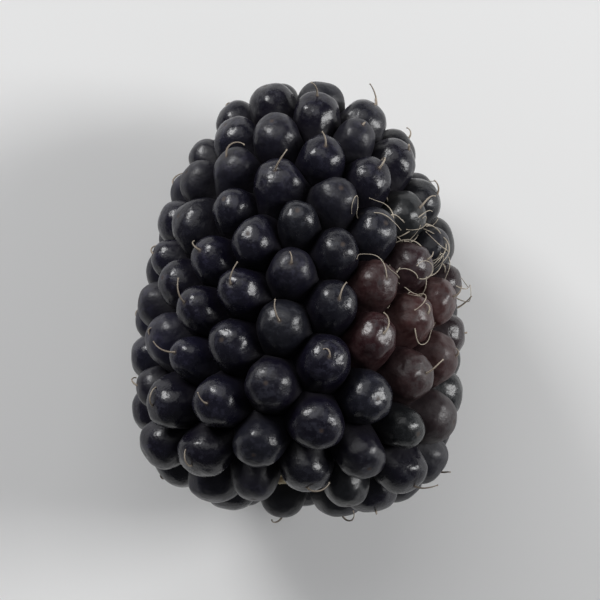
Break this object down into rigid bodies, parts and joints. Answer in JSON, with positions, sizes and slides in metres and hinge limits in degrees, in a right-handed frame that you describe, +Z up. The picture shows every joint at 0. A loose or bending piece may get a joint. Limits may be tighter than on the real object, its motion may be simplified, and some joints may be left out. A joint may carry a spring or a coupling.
{
  "type": "bramble berry",
  "caption": "Ripe bramble berry as picked, lying on its side: a cluster of plump dark drupelets round a pale receptacle.",
  "frame": {"origin": "on the surface that the berry rests on, under the middle of its box", "axes": "+Z up; the berry's long axis lies along Y, with its tip towards +Y and its stem end towards -Y"},
  "size_m": [0.0256, 0.034, 0.0259],
  "materials": {
    "drupelet_skin": "glossy near-black fruit skin with a blue-purple cast",
    "receptacle_flesh": "pale tan fibrous flesh"
  },
  "bodies": {
    "root": {"drupelets": "drupelet_skin", "receptacle": "receptacle_flesh"}
  },
  "joints": []
}
